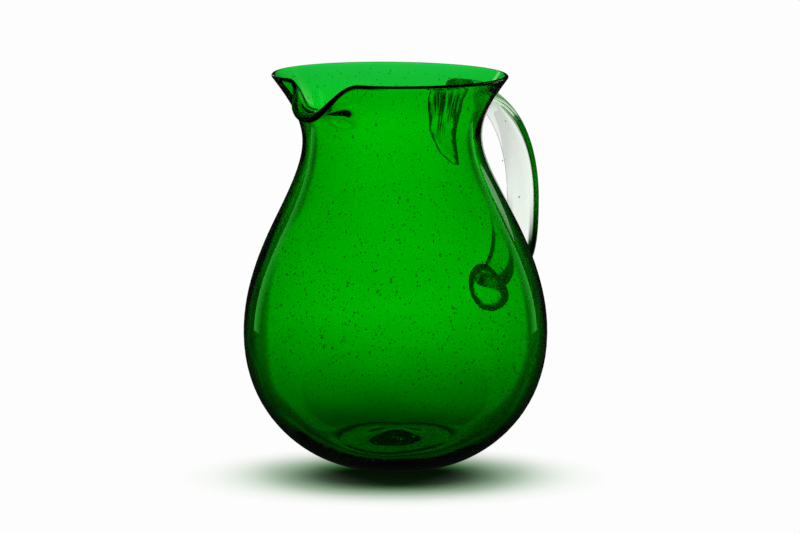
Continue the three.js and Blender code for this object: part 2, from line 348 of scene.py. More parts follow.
def mark_lip_shade(vessel, start):
    """Marks painted shade on the thick lip of the spout, from its last outside ring to its first
    inside ones.
    """
    around = len(angles_around())
    near = 1 - smooth(*LIP_SHADE_ANGLES, np.abs(np.degrees(angles_around()) - SPOUT_MIDDLE))
    lip = np.zeros(len(vessel.data.vertices))
    levels = [0] + [1] * (LIP_STEPS + 1) + [0.9, 0]
    for row, level in enumerate(levels, start - 2):
        lip[row * around:(row + 1) * around] = level * near
    write_mark(vessel, "lip", lip)


def mark_scar_and_shade(vessel):
    """Marks the middle of the foot, over the rough scar that the pontil left, and paints shade there
    for the shadow under the foot.
    """
    points = np.array([v.co[:] for v in vessel.data.vertices]) / MM
    radius = np.hypot(points[:, 0] - VESSEL_X, points[:, 1])
    write_mark(vessel, "scar", np.interp(radius, SCAR_SHADE_RADII, SCAR_SHADE_LEVELS))


def mark_wall(vessel, start, depth, drawn):
    """Tells the bubbles where the outside wall is, how thick it is, and how far it was drawn."""
    mesh = vessel.data
    rows, around = depth.shape
    wall, pulled = np.zeros(len(mesh.vertices)), np.zeros(len(mesh.vertices))
    span = slice(start * around, (start + rows) * around)
    wall[span] = depth.reshape(-1) * MM
    pulled[span] = np.repeat(drawn, around)
    write_mark(vessel, "wall", wall)
    write_mark(vessel, "drawn", pulled)
    lowest, highest = start * around, (start + rows - 3) * around
    marks = [all(lowest <= v < highest for v in p.vertices) for p in mesh.polygons]
    write_mark(vessel, "outside_wall", marks, "BOOLEAN", "FACE")


def blown_vessel():
    """The blown body as one closed wall, from under its foot over the lip to its floor."""
    foot_inner = FOOT_RADIUS - FOOT_RING_WIDTH
    rows = wall_points()
    outside = rings_of(rows)
    beside = np.roll(outside, -1, axis=1) - np.roll(outside, 1, axis=1)
    inward = unit(np.cross(beside, np.gradient(outside, axis=0, edge_order=2)))
    depth = wall_depth(rows)
    inside = outside + inward * (depth + wandering(outside, rows[:, 2]))[:, :, None]
    # The lip is a half round over the last ring, a little flattened
    across = -inward[-1] * depth[-1][:, None] / 2
    over = unit(np.cross(inward[-1], beside[-1])) * (depth[-1][:, None] / 2 - LIP_SINK)
    middle = (outside[-1] + inside[-1]) / 2
    lip = [middle + across * math.cos(turn) + over * math.sin(turn)
           for turn in np.pi * np.arange(1, LIP_STEPS) / LIP_STEPS]
    ring = np.array([[foot_inner, 0, 0, BASE_THICKNESS]])
    under = rings_of(np.concatenate([dome_points(foot_inner, 0, PUNT_HEIGHT, foot_inner), ring]))
    floor = rings_of(dome_points(FOOT_RADIUS, BASE_THICKNESS, FLOOR_CROWN, MOUND_RADIUS)[::-1])
    vessel = loft("green_vessel", np.concatenate([under, outside, lip, inside[::-1], floor]),
                  ((VESSEL_X, 0, PUNT_HEIGHT), (VESSEL_X, 0, BASE_THICKNESS + FLOOR_CROWN)))
    mark_wall(vessel, len(under), depth, smooth(DRAWN_FROM, NECK_HEIGHT, rows[:, 2]))
    mark_lip_shade(vessel, len(under) + len(outside))
    mark_scar_and_shade(vessel)
    stations = np.concatenate([np.zeros(len(under)), rows[:, 2], np.full(len(lip), RIM_HEIGHT),
                               rows[::-1, 2], np.zeros(len(floor))])
    mark_mouth(vessel, np.interp(stations, MOUTH_HEIGHTS, (0, 1)))
    # The bubbles lack this mark of the vessel's own skin, which takes the painted edge shade
    write_mark(vessel, "skin", np.ones(len(vessel.data.vertices)))
    return vessel


# Shape of the applied handle

def outside_radius(height):
    curve = BOWL if height <= BOWL_HEIGHT else SHOULDER if height <= NECK_HEIGHT else FLARE
    t = np.linspace(0, 1, 2001)
    points = curve.point(t)
    return float(np.interp(height, points[:, 1], points[:, 0]))


def on_vessel(across, height, off):
    """A place on the handle side: across the vessel, up it, and off its surface."""
    radius = outside_radius(height)
    return formed(np.array(np.pi + across / radius), np.array(radius + off),
                  np.array(float(height)), np.array(float(height)))


def section(width, thickness, squareness):
    """A rounded oblong across a strap or a pad, as places across it and through it."""
    turn = 2 * np.pi * np.arange(SECTION_STEPS) / SECTION_STEPS
    across = np.sign(np.cos(turn)) * np.abs(np.cos(turn)) ** (2 / squareness) * width / 2
    through = np.sign(np.sin(turn)) * np.abs(np.sin(turn)) ** (2 / squareness) * thickness / 2
    return across, through


def strap_curves():
    """The strap's middle line, from the neck out to its widest place and back to the belly."""
    top = on_vessel(0, RIM_HEIGHT - HANDLE_DROP, -NECK_THICKNESS)
    foot = on_vessel(0, BOWL_HEIGHT + FOOT_PAD_RISE, -BELLY_THICKNESS)
    reach = VESSEL_X + HANDLE_REACH
    widest = foot[2] + WIDEST_RISE
    upper = Curve((top[0], top[2]), (top[0] + NECK_THICKNESS + TOP_PULL, top[2] - TOP_FALL),
                  (reach, widest + WIDEST_PULL_UP), (reach, widest))
    lower = Curve((reach, widest), (reach, widest - WIDEST_PULL_DOWN),
                  (foot[0] + BELLY_THICKNESS + FOOT_PULL_OUT, foot[2] + FOOT_PULL_UP),
                  (foot[0], foot[2]))
    return upper, lower


def strap(steps=120):
    """The strap itself, drawn out of one gather: thicker where it was pressed on."""
    t = np.linspace(0, 1, 400)
    upper, lower = strap_curves()
    points = np.concatenate([upper.point(t), lower.point(t[1:])])
    ways = np.concatenate([upper.tangent(t), lower.tangent(t[1:])])
    length = np.concatenate([[0], np.cumsum(np.linalg.norm(np.diff(points, axis=0), axis=1))])
    rings = []
    for share in np.linspace(0, 1, steps + 1):
        at = share * length[-1]
        x, z, way_x, way_z = (np.interp(at, length, v) for v in
                              (points[:, 0], points[:, 1], ways[:, 0], ways[:, 1]))
        root = 1 - smooth(0, ROOT_LENGTH, min(at, length[-1] - at))
        width = STRAP_WIDTH + (STRAP_ROOT_WIDTH - STRAP_WIDTH) * root
        thickness = STRAP_THICKNESS + (STRAP_ROOT_THICKNESS - STRAP_THICKNESS) * root
        across, through = section(width, thickness - STRAP_POLISH, STRAP_SQUARENESS)
        rings.append(np.stack([x + way_z * through, -across, z - way_x * through], axis=1))
    return loft("strap", rings)


def pad(name, low_height, length, thickness, edges, wrinkle=0, steps=40):
    """A pad pressed on to the vessel; half of it lies under the surface and is cut away."""
    rings = []
    for step in np.linspace(0, 1, steps + 1):
        share = 0.5 - PAD_SPAN / 2 * math.cos(math.pi * step)
        plus, minus = edges(share)
        rounding = math.sin(math.pi * share) ** PAD_ROUNDING
        across, off = section(plus + minus, 2 * thickness * rounding, PAD_SQUARENESS)
        ripples = [noise.noise(Vector((a / WRINKLE_WIDTH, share * WRINKLES_ALONG, 0)))
                   for a in across]
        off = off + wrinkle * smooth(*WRINKLE_START, share) * np.array(ripples) * (off > 0)
        rings.append([on_vessel(a + (minus - plus) / 2, low_height + length * share, o)
                      for a, o in zip(across, off)])
    return loft(name, rings)


def spline(values):
    """A smooth line through values at equal steps, from 0 to 1."""
    values = np.array(values, float)

    def at(share):
        place = min(max(share, 0), 1) * (len(values) - 1)
        i = min(int(place), len(values) - 2)
        t = place - i
        p = [values[min(max(i + k, 0), len(values) - 1)] for k in (-1, 0, 1, 2)]
        v0, v1 = (p[2] - p[0]) / 2, (p[3] - p[1]) / 2
        return ((2 * t ** 3 - 3 * t ** 2 + 1) * p[1] + (t ** 3 - 2 * t ** 2 + t) * v0
                + (-2 * t ** 3 + 3 * t ** 2) * p[2] + (t ** 3 - t ** 2) * v1)
    return at


def seat():
    """The space that the handle leaves free: the vessel filled up, with a hair's gap round it."""
    rings = rings_of(wall_points(SEAT_GAP))
    return loft("seat", rings, ((VESSEL_X, 0, -SEAT_GAP), (VESSEL_X, 0, rings[-1, :, 2].min())))


def finish_mesh(piece):
    """Turns what the modifiers make of a piece into its plain mesh."""
    depsgraph = bpy.context.evaluated_depsgraph_get()
    made = bpy.data.meshes.new_from_object(piece.evaluated_get(depsgraph))
    made.name = piece.name
    piece.modifiers.clear()
    piece.data = made


def applied_handle():
    """The strap and its two pads as one piece, cut to the vessel and melted together."""
    plus, minus = spline(TONGUE_EDGE_PLUS_Y), spline(TONGUE_EDGE_MINUS_Y)
    tongue = pad("tongue", RIM_HEIGHT - HANDLE_DROP - TONGUE_LENGTH, TONGUE_LENGTH,
                 TONGUE_THICKNESS, lambda share: (plus(share), minus(share)), TONGUE_WRINKLE)

    def foot_edge(share):
        edge = FOOT_PAD_WIDTH / 2 * math.sin(math.pi * share) ** 0.5
        return edge, edge
    foot_pad = pad("foot_pad", BOWL_HEIGHT + FOOT_PAD_RISE - FOOT_PAD_LENGTH / 2, FOOT_PAD_LENGTH,
                   FOOT_PAD_THICKNESS, foot_edge)
    handle = strap()
    handle.name = "clear_handle"
    tools = [(tongue, "UNION"), (foot_pad, "UNION"), (seat(), "DIFFERENCE")]
    for tool, operation in tools:
        step = handle.modifiers.new("join", "BOOLEAN")
        step.operation = operation
        step.solver = "EXACT"
        step.object = tool
    finish_mesh(handle)
    for tool, _ in tools:
        bpy.data.objects.remove(tool)
    melt = handle.modifiers.new("melt", "REMESH")
    melt.mode = "VOXEL"
    melt.voxel_size = MELT_SIZE * MM
    melt.use_smooth_shade = True
    soften = handle.modifiers.new("soften", "SMOOTH")
    soften.factor = 0.5
    soften.iterations = MELT_ROUNDS
    finish_mesh(handle)
    return handle


def foot_ring(y, z, uneven):
    """Painted shade: the dark outline of the pad on the belly."""
    from_middle = np.hypot(y / FOOT_PAD_WIDTH, (z - BOWL_HEIGHT - FOOT_PAD_RISE) / FOOT_PAD_LENGTH)
    return smooth(*FOOT_RING_SHARE, from_middle + FOOT_RING_UNEVEN * uneven) * (z < HANDLE_MIDDLE)


def tongue_lines(y, z, uneven):
    """Painted shade: the dark lines along the tongue's two edges, and along the ridges at its top.
    """
    share = (z - (RIM_HEIGHT - HANDLE_DROP - TONGUE_LENGTH)) / TONGUE_LENGTH
    plus, minus = (np.array([spline(edge)(v) for v in share])
                   for edge in (TONGUE_EDGE_PLUS_Y, TONGUE_EDGE_MINUS_Y))
    edges = np.maximum(1 - smooth(*PLUS_Y_LINE, plus - y + uneven),
                       1 - smooth(*MINUS_Y_LINE, y + minus + 2 * uneven)) * (z > HANDLE_MIDDLE)
    streaks = np.array([noise.noise(Vector((v / RIDGE_WIDTH, h / RIDGE_LENGTH, 0)))
                        for v, h in zip(y, z)])
    ridges = smooth(*RIDGE_SHARE, streaks) * smooth(*RIDGES_START, z) * (1 - smooth(*RIDGES_END, z))
    return np.maximum(edges, ridges)


def mark_handle(handle):
    """Marks painted shade in the thick glass: the outlines of the pads, the tongue's ridges and the
    sides of the lower root; and a painted green reflection of the vessel on the strap's side that
    faces -Y."""
    mesh = handle.data
    points, normals = np.zeros(3 * len(mesh.vertices)), np.zeros(3 * len(mesh.vertices))
    mesh.vertices.foreach_get("co", points)
    mesh.vertex_normals.foreach_get("vector", normals)
    points, normals = points.reshape(-1, 3) / MM, normals.reshape(-1, 3)
    x, y, z = points.T
    wall = wall_points()
    lean = MOUTH_SHIFT * smooth(BOWL_HEIGHT + SHIFT_START, RIM_HEIGHT, z)
    off = np.hypot(x - VESSEL_X + lean, y) - np.interp(z, wall[:, 1], wall[:, 0])
    uneven = np.array([noise.noise(Vector(point) / MARK_GRAIN) for point in points])
    pressed = 1 - smooth(*PRESSED_DEPTH, off)
    outlines = np.maximum(foot_ring(y, z, uneven), tongue_lines(y, z, uneven))
    root = smooth(*ROOT_SIDE, np.abs(y)) * (1 - smooth(*ROOT_END, z)) * smooth(*PRESSED_DEPTH, off)
    # Painted shade on the pads' outlines, the tongue's ridges and the root's sides
    painted_shade = np.maximum(root, pressed * outlines) * (1 - smooth(*MARKS_END, z))
    # Painted reflection of the green vessel on the strap's side that faces -Y
    side = smooth(*REFLECTION_FACING, -normals[:, 1]) * smooth(*REFLECTION_OFF, off) * (1 - smooth(*REFLECTION_END, z))
    write_mark(handle, "rim", painted_shade)
    write_mark(handle, "side", side)
    write_mark(handle, "skin", np.ones_like(side))


# Materials

def linear(hex_colour, level=1):
    """An sRGB hex colour as linear red, green, blue and 1, at a share of its brightness."""
    channels = [int(hex_colour[i:i + 2], 16) / 255 for i in (0, 2, 4)]
    return tuple(level * (c / 12.92 if c <= 0.04045 else ((c + 0.055) / 1.055) ** 2.4)
                 for c in channels) + (1.0,)


def socket(sockets, name):
    """The socket in use with that name or identifier."""
    return next(s for s in sockets if s.enabled and name in (s.name, s.identifier))


def add(tree, kind, inputs=(), out=None, stops=(), **settings):
    """Adds a node with its settings, its links and a colour ramp's stops, and gives the node or
    the output that is asked for. Inputs are named or come in order. Each is a value, another
    node's output, or a list of such outputs."""
    node = tree.nodes.new(kind)
    for name, value in settings.items():
        setattr(node, name, value)
    named = inputs.items() if isinstance(inputs, dict) else enumerate(inputs)
    for name, given in named:
        target = node.inputs[name] if isinstance(name, int) else socket(node.inputs, name)
        for value in given if isinstance(given, list) else [given]:
            if isinstance(value, bpy.types.NodeSocket):
                tree.links.new(value, target)
            else:
                target.default_value = value
    if stops:
        elements = node.color_ramp.elements
        while len(elements) < len(stops):
            elements.new(1.0)
        for element, (place, colour) in zip(elements, stops):
            element.position = place
            element.color = colour
    return node if out is None else socket(node.outputs, out)


def new_material(name):
    material = bpy.data.materials.new(name)
    material.use_nodes = True
    material.node_tree.nodes.clear()
    return material, material.node_tree


RIPPLE_DEPTH = 0.02        # as a blown or drawn surface has, too faint to see but in reflections
MOUTH_LEVEL = 0.8          # how bright the skin stays in the thin mouth, all the way to its edge


def glass(name, absorbed, per_metre, skin, shadow_tint, sheen_tint, ripple_mm, edge, marks):
    """Soda-lime glass, shaped hot and fire-polished, so it is clear and glossy, with faint ripples.
    What it absorbs on the way through gives its colour: thick places are deep and thin ones
    light. Its skin is painted with shade that falls off to the edge, as dark cards beside the set
    would make it, but not in the thin mouth and not on the bubbles. The edge gives the skin's
    level by how far it turns from the eye, and marks of painted shade and painted reflection on
    the mesh make it deeper still."""
    material, tree = new_material(name)
    place = add(tree, "ShaderNodeTexCoord", out="Object")
    ripple = add(tree, "ShaderNodeTexNoise", {
        "Vector": place, "Scale": 1 / (ripple_mm * MM), "Detail": 1.0, "Roughness": 0.4}, "Fac")
    bump = add(tree, "ShaderNodeBump", {
        "Strength": 1.0, "Distance": RIPPLE_DEPTH * MM, "Height": ripple}, "Normal")
    facing = add(tree, "ShaderNodeLayerWeight", {"Blend": 0.5}, "Facing")
    # Painted shade: the skin darkens towards the edge, where the surface turns from the eye
    shaded_skin = add(tree, "ShaderNodeValToRGB", {"Fac": facing}, "Color",
               [(where, linear(skin, level)) for where, level in edge])
    thin = add(tree, "ShaderNodeAttribute", out="Fac", attribute_name="mouth")
    shaded_skin = add(tree, "ShaderNodeMix", {
        "Factor_Float": thin, "A_Color": shaded_skin, "B_Color": linear(skin, MOUTH_LEVEL)},
        "Result_Color", data_type="RGBA")
    skinned = add(tree, "ShaderNodeAttribute", out="Fac", attribute_name="skin")
    shaded_skin = add(tree, "ShaderNodeMix", {
        "Factor_Float": skinned, "A_Color": linear(skin), "B_Color": shaded_skin},
        "Result_Color", data_type="RGBA")
    for mark, stops in marks.items():
        here = add(tree, "ShaderNodeAttribute", out="Fac", attribute_name=mark)
        deeper = add(tree, "ShaderNodeValToRGB", {"Fac": here}, "Color",
                     [(level, linear(colour)) for level, colour in stops])
        shaded_skin = add(tree, "ShaderNodeMix", {
            "Factor_Float": 1.0, "A_Color": shaded_skin, "B_Color": deeper},
            "Result_Color", data_type="RGBA", blend_type="MULTIPLY")
    body = add(tree, "ShaderNodeBsdfPrincipled", {
        "Base Color": shaded_skin, "Roughness": 0.0, "IOR": 1.51, "Transmission Weight": 1.0,
        "Specular Tint": linear(sheen_tint), "Normal": bump}, "BSDF")
    let_through = add(tree, "ShaderNodeBsdfTransparent", {"Color": linear(shadow_tint)}, "BSDF")
    shadow_ray = add(tree, "ShaderNodeLightPath", out="Is Shadow Ray")
    surface = add(tree, "ShaderNodeMixShader", (shadow_ray, body, let_through), "Shader")
    volume = add(tree, "ShaderNodeVolumeAbsorption", {
        "Color": linear(absorbed), "Density": per_metre}, "Volume")
    add(tree, "ShaderNodeOutputMaterial", {"Surface": surface, "Volume": volume})
    return material


# Bottle-green bubble glass, blown: light green where one looks straight through, nearly black with
# painted shade at its outlines, in the spout's thick lip and over the foot
green_glass = glass(
    "green_bubble_glass", absorbed="67F9B2", per_metre=1355, skin="95FFB3", shadow_tint="7C907C",
    sheen_tint="3FF36C", ripple_mm=16,
    edge=[(0.0, 1.0), (0.25, 0.92), (0.45, 0.88), (0.58, 0.9), (0.63, 0.22), (0.68, 0.05),
          (0.75, 0.012), (1.0, 0.0)],
    # Painted shade darkens the spout's thick lip
    marks={"lip": [(0, "FFFFFF"), (1, "0D270D")],
           # Painted shade over the middle of the foot, where the pontil's scar is
           "scar": [(0, "FFFFFF"), (0.5, "BCBCBC"), (1, "071D07")]})

# Clear glass, drawn out as a strap: colourless in its broad face, with painted shade for dark
# outlines, and a painted deep green reflection of the vessel on its side
clear_glass = glass(
    "clear_drawn_glass", absorbed="7CF359", per_metre=15, skin="FFFFFF", shadow_tint="F3F3F3",
    sheen_tint="FFFFFF", ripple_mm=12,
    edge=[(0.0, 1.0), (0.6, 1.0), (0.85, 0.6), (0.97, 0.1), (1.0, 0.0)],
    # Painted shade on the handle's outlines, ridges and root
    marks={"rim": [(0, "FFFFFF"), (1, "000200")],
           # Painted reflection of the green vessel, deep green on the strap's side
           "side": [(0, "FFFFFF"), (0.12, "275927"), (0.4, "001A00"), (0.8, "002C00")]})


# Bubbles, closed hollows inside the glass, in the same mesh as the wall round them

SIZE_SKEW = 2.6            # the higher, the fewer of the bubbles are large
UNDRAWN_SIZE, DRAWN_LOSS = 1.1, 0.45     # drawing the glass out makes them finer
COVER = 0.3                # the least glass between a bubble and the wall's two faces
LEAST_STRETCH = 0.2
SIZE_SEED, DEPTH_SEED, STRETCH_SEED = 11, 12, 13
HANDLE_BUBBLES = [((87.6, 0.5, 128), 0.55, 1.2), ((82, 8, 148), 0.35, 1.3),
                  ((70, -4, 172), 0.4, 1.0), ((84, -3, 104), 0.45, 1.4)]


def bubble_radius(tree, given, drawn, chance):
    """Most are small and a few large, and drawing the glass out makes them finer."""
    skewed = add(tree, "ShaderNodeMath", (chance, SIZE_SKEW), "Value", operation="POWER")
    spread = add(tree, "ShaderNodeMath", (given["Largest radius"], given["Smallest radius"]),
                 "Value", operation="SUBTRACT")
    undrawn = add(tree, "ShaderNodeMath", (skewed, spread, given["Smallest radius"]),
                  "Value", operation="MULTIPLY_ADD")
    finer = add(tree, "ShaderNodeMath", (drawn, -DRAWN_LOSS, UNDRAWN_SIZE),
                "Value", operation="MULTIPLY_ADD")
    return add(tree, "ShaderNodeMath", (undrawn, finer), "Value", operation="MULTIPLY")


def bubble_place(tree, normal, radius, wall, chance):
    """Each lies somewhere in the depth of the wall and never breaks out of it."""
    margin = add(tree, "ShaderNodeMath", (radius, COVER * MM), "Value", operation="ADD")
    margins = add(tree, "ShaderNodeMath", (margin, 2.0), "Value", operation="MULTIPLY")
    room = add(tree, "ShaderNodeMath", (wall, margins), "Value", operation="SUBTRACT")
    depth = add(tree, "ShaderNodeMath", (chance, room, margin), "Value", operation="MULTIPLY_ADD")
    sunk = add(tree, "ShaderNodeMath", (depth, -1.0), "Value", operation="MULTIPLY")
    return add(tree, "ShaderNodeVectorMath", {"Vector": normal, "Scale": sunk}, "Vector",
               operation="SCALE")


def bubble_form(tree, given, normal, radius, drawn, chance):
    """They are flat in the wall and drawn out up it, the more the further the glass was drawn."""
    flat = add(tree, "FunctionNodeAlignRotationToVector", {"Vector": normal}, "Rotation", axis="Z")
    upright = add(tree, "FunctionNodeAlignRotationToVector", {
        "Rotation": flat, "Vector": (0, 0, 1)}, "Rotation", axis="X", pivot_axis="Z")
    pulled = add(tree, "ShaderNodeMath", (drawn, chance), "Value", operation="MULTIPLY")
    longer = add(tree, "ShaderNodeMath", (given["Stretch"], pulled, 1.0), "Value",
                 operation="MULTIPLY_ADD")
    length = add(tree, "ShaderNodeMath", (radius, longer), "Value", operation="MULTIPLY")
    return upright, add(tree, "ShaderNodeCombineXYZ", (length, radius, radius), "Vector")


def bubble_tree():
    """Strews bubbles in a blown wall, as hollows with their faces turned inwards."""
    tree = bpy.data.node_groups.new("bubbles_in_the_wall", "GeometryNodeTree")
    for name, kind in (("Geometry", "Geometry"), ("Per square metre", "Float"),
                       ("Smallest radius", "Float"), ("Largest radius", "Float"),
                       ("Stretch", "Float"), ("Fineness", "Int"), ("Seed", "Int"),
                       ("Glass", "Material")):
        tree.interface.new_socket(name, in_out="INPUT", socket_type="NodeSocket" + kind)
    tree.interface.new_socket("Geometry", in_out="OUTPUT", socket_type="NodeSocketGeometry")
    given = add(tree, "NodeGroupInput").outputs
    outside, wall, drawn = (
        add(tree, "GeometryNodeInputNamedAttribute", {"Name": mark}, "Attribute", data_type=kind)
        for mark, kind in (("outside_wall", "BOOLEAN"), ("wall", "FLOAT"), ("drawn", "FLOAT")))
    for_size, for_depth, for_stretch = (
        add(tree, "FunctionNodeRandomValue", {"Min": least, "Max": 1.0, "Seed": seed}, "Value",
            data_type="FLOAT")
        for least, seed in ((0.0, SIZE_SEED), (0.0, DEPTH_SEED), (LEAST_STRETCH, STRETCH_SEED)))
    points = add(tree, "GeometryNodeDistributePointsOnFaces", {
        "Mesh": given["Geometry"], "Selection": outside, "Density": given["Per square metre"],
        "Seed": given["Seed"]}, distribute_method="RANDOM").outputs
    radius = bubble_radius(tree, given, drawn, for_size)
    inward = bubble_place(tree, points["Normal"], radius, wall, for_depth)
    upright, size = bubble_form(tree, given, points["Normal"], radius, drawn, for_stretch)
    placed = add(tree, "GeometryNodeSetPosition", {
        "Geometry": points["Points"], "Offset": inward}, "Geometry")
    ball = add(tree, "GeometryNodeMeshIcoSphere", {
        "Radius": 1.0, "Subdivisions": given["Fineness"]}, "Mesh")
    bubbles = add(tree, "GeometryNodeInstanceOnPoints", {
        "Points": placed, "Instance": ball, "Rotation": upright, "Scale": size}, "Instances")
    plain = add(tree, "GeometryNodeRealizeInstances", {"Geometry": bubbles}, "Geometry")
    # What they took over from the wall goes, so that the next ones start from the wall alone
    for mark in ("outside_wall", "wall", "drawn", "lip", "scar", "skin", "mouth"):
        plain = add(tree, "GeometryNodeRemoveAttribute", {"Geometry": plain, "Name": mark},
                    "Geometry")
    hollow = add(tree, "GeometryNodeFlipFaces", {"Mesh": plain}, "Mesh")
    shaded = add(tree, "GeometryNodeSetShadeSmooth", {"Geometry": hollow}, "Geometry")
    filled = add(tree, "GeometryNodeJoinGeometry", {"Geometry": [shaded, given["Geometry"]]},
                 "Geometry")
    coated = add(tree, "GeometryNodeSetMaterial", {
        "Geometry": filled, "Material": given["Glass"]}, "Geometry")
    add(tree, "NodeGroupOutput", {"Geometry": coated})
    return tree


def fill_with_bubbles(piece, tree, **values):
    """Adds the bubble modifier; a name's underscores stand for spaces."""
    modifier = piece.modifiers.new("bubbles", "NODES")
    modifier.node_group = tree
    for item in tree.interface.items_tree:
        key = item.name.lower().replace(" ", "_")
        if item.in_out == "INPUT" and key in values:
            modifier[item.identifier] = values[key]


def hollow_at(piece, places, rows=9, sides=16):
    """Single bubbles at given places, with a radius and a stretch each, in a thick piece."""
    mesh = piece.data
    vertices = [v.co[:] for v in mesh.vertices]
    faces = [tuple(p.vertices) for p in mesh.polygons]
    for (x, y, z), radius, stretch in places:
        start = len(vertices)
        for row in range(1, rows):
            up = math.pi * row / rows
            for side in range(sides):
                turn = 2 * math.pi * side / sides
                vertices.append(((x + radius * math.sin(up) * math.cos(turn)) * MM,
                                 (y + radius * math.sin(up) * math.sin(turn)) * MM,
                                 (z + stretch * radius * math.cos(up)) * MM))
        top, bottom = len(vertices), len(vertices) + 1
        vertices += [(x * MM, y * MM, (z + stretch * radius) * MM),
                     (x * MM, y * MM, (z - stretch * radius) * MM)]
        end = start + (rows - 2) * sides
        for side in range(sides):
            after = (side + 1) % sides
            faces.append((top, start + after, start + side))
            faces.append((bottom, end + side, end + after))
            for row in range(rows - 2):
                a, b = start + row * sides + side, start + row * sides + after
                faces.append((a, b, b + sides, a + sides))
    made = mesh_object(piece.name + "_made", vertices, faces)
    piece.data = made.data
    bpy.data.objects.remove(made)


# The two pieces

vessel = blown_vessel()
bubbles = bubble_tree()
fill_with_bubbles(vessel, bubbles, per_square_metre=3800.0, smallest_radius=0.45 * MM,
                  largest_radius=0.9 * MM, stretch=0.9, fineness=2, seed=5, glass=green_glass)
fill_with_bubbles(vessel, bubbles, per_square_metre=56000.0, smallest_radius=0.2 * MM,
                  largest_radius=0.6 * MM, stretch=1.1, fineness=1, seed=8, glass=green_glass)
finish_mesh(vessel)

handle = applied_handle()
hollow_at(handle, HANDLE_BUBBLES)
mark_handle(handle)
handle.data.materials.clear()
handle.data.materials.append(clear_glass)

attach(vessel, "root")
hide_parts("vessel")
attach(handle, "root")
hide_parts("handle")


# Camera

VIEW_AZIMUTH = math.radians(43)        # the way the camera looks, from +X towards +Y
VIEW_ELEVATION = math.radians(10.5)
VIEW_DISTANCE = 1300
AIM_HEIGHT, AIM_RIGHT, AIM_UP = 103, 2.36, -0.31
LENS, SENSOR_WIDTH = 111.7, 36

AHEAD = Vector((math.cos(VIEW_AZIMUTH), math.sin(VIEW_AZIMUTH), 0))
RIGHT = Vector((AHEAD.y, -AHEAD.x, 0))
LOOK = AHEAD * math.cos(VIEW_ELEVATION) - Vector((0, 0, math.sin(VIEW_ELEVATION)))


def view_camera():
    up = RIGHT.cross(LOOK)
    aim = Vector((VESSEL_X, 0, AIM_HEIGHT)) + AIM_RIGHT * RIGHT + AIM_UP * up
    lens = bpy.data.cameras.new("camera")
    lens.sensor_width = SENSOR_WIDTH
    lens.lens = LENS
    camera = bpy.data.objects.new("camera", lens)
    bpy.context.scene.collection.objects.link(camera)
    turn = Matrix((RIGHT, up, -LOOK)).transposed().to_4x4()
    camera.matrix_world = Matrix.Translation((aim - VIEW_DISTANCE * LOOK) * MM) @ turn
    bpy.context.scene.camera = camera


view_camera()


# Cards and lights round the set

CEILING_HEIGHT, CEILING_RADIUS = 800, 1500
SURROUND_DISTANCE, SURROUND_LEVEL = 900, 0.008
SURROUND_FLOOR_RADIUS, SURROUND_FLOOR_HEIGHT = 32, 0.5
BAND_DISTANCE, BAND_HEIGHTS, BAND_ANGLES = 850, (250, 790), (18, 58)    # angles off the view
BAND_FADE_HEIGHTS = (250, 800)
STRIP_DISTANCE, STRIP_HEIGHTS, STRIP_ANGLES = 340, (30, 450), (59, 70)
STRIP_FADE_ANGLES, STRIP_LEVEL = (59, 71), 1.8
CARD_STEPS = 6
DISC_STEPS = 96
DISC_HOLE = 0.1             # a disc's innermost radius, too small to see


def seen_by(piece, *rays):
    for ray in ("camera", "diffuse", "glossy", "transmission", "volume_scatter", "shadow"):
        setattr(piece, "visible_" + ray, ray in rays)


def stage_piece(name, vertices, faces, material, rays):
    """A studio piece, from points in millimetres round the vessel's axis."""
    piece = mesh_object(name, [((x + VESSEL_X) * MM, y * MM, z * MM) for x, y, z in vertices], faces)
    piece.data.materials.append(material)
    seen_by(piece, *rays)


def standing_card(name, start, end, distance, heights, material):
    """A card that stands round the set, between two azimuths in degrees, and shows in
    reflections alone."""
    vertices, faces = [], []
    for step in range(CARD_STEPS + 1):
        azimuth = math.radians(start + (end - start) * step / CARD_STEPS)
        for height in heights:
            vertices.append((distance * math.cos(azimuth), distance * math.sin(azimuth), height))
        if step:
            a = 2 * step - 2
            faces.append((a, a + 1, a + 3, a + 2))
    stage_piece(name, vertices, faces, material, ("glossy",))


def disc(name, inner, outer, height, material, rays):
    vertices, faces = [], []
    for side in range(DISC_STEPS):
        azimuth = 2 * math.pi * side / DISC_STEPS
        for radius in (inner, outer):
            vertices.append((radius * math.cos(azimuth), radius * math.sin(azimuth), height))
        a, b = 2 * side, 2 * ((side + 1) % DISC_STEPS)
        faces.append((a, a + 1, b + 1, b))
    stage_piece(name, vertices, faces, material, rays)


def flat_light(name, colour, strength):
    """A plain glow. Its strength is a number, or a function that adds the nodes for it."""
    material, tree = new_material(name)
    level = strength(tree) if callable(strength) else strength
    glow = add(tree, "ShaderNodeEmission", {"Color": linear(colour), "Strength": level}, "Emission")
    add(tree, "ShaderNodeOutputMaterial", {"Surface": glow})
    material.cycles.emission_sampling = "NONE"
    return material


def strip_fade(tree):
    """A strip light is brightest along its side that is nearer to the view's line."""
    place = add(tree, "ShaderNodeTexCoord", out="Object")
    place = add(tree, "ShaderNodeSeparateXYZ", (place,)).outputs
    from_axis = add(tree, "ShaderNodeMath", (place["X"], -VESSEL_X * MM), "Value", operation="ADD")
    azimuth = add(tree, "ShaderNodeMath", (place["Y"], from_axis), "Value", operation="ARCTAN2")
    aside = add(tree, "ShaderNodeMath", (azimuth, -VIEW_AZIMUTH), "Value", operation="ADD")
    aside = add(tree, "ShaderNodeMath", (aside,), "Value", operation="ABSOLUTE")
    near, far = (math.radians(angle) for angle in STRIP_FADE_ANGLES)
    return add(tree, "ShaderNodeMapRange", {
        "Value": aside, "From Min": near, "From Max": far, "To Min": STRIP_LEVEL, "To Max": 0.0},
        "Result")


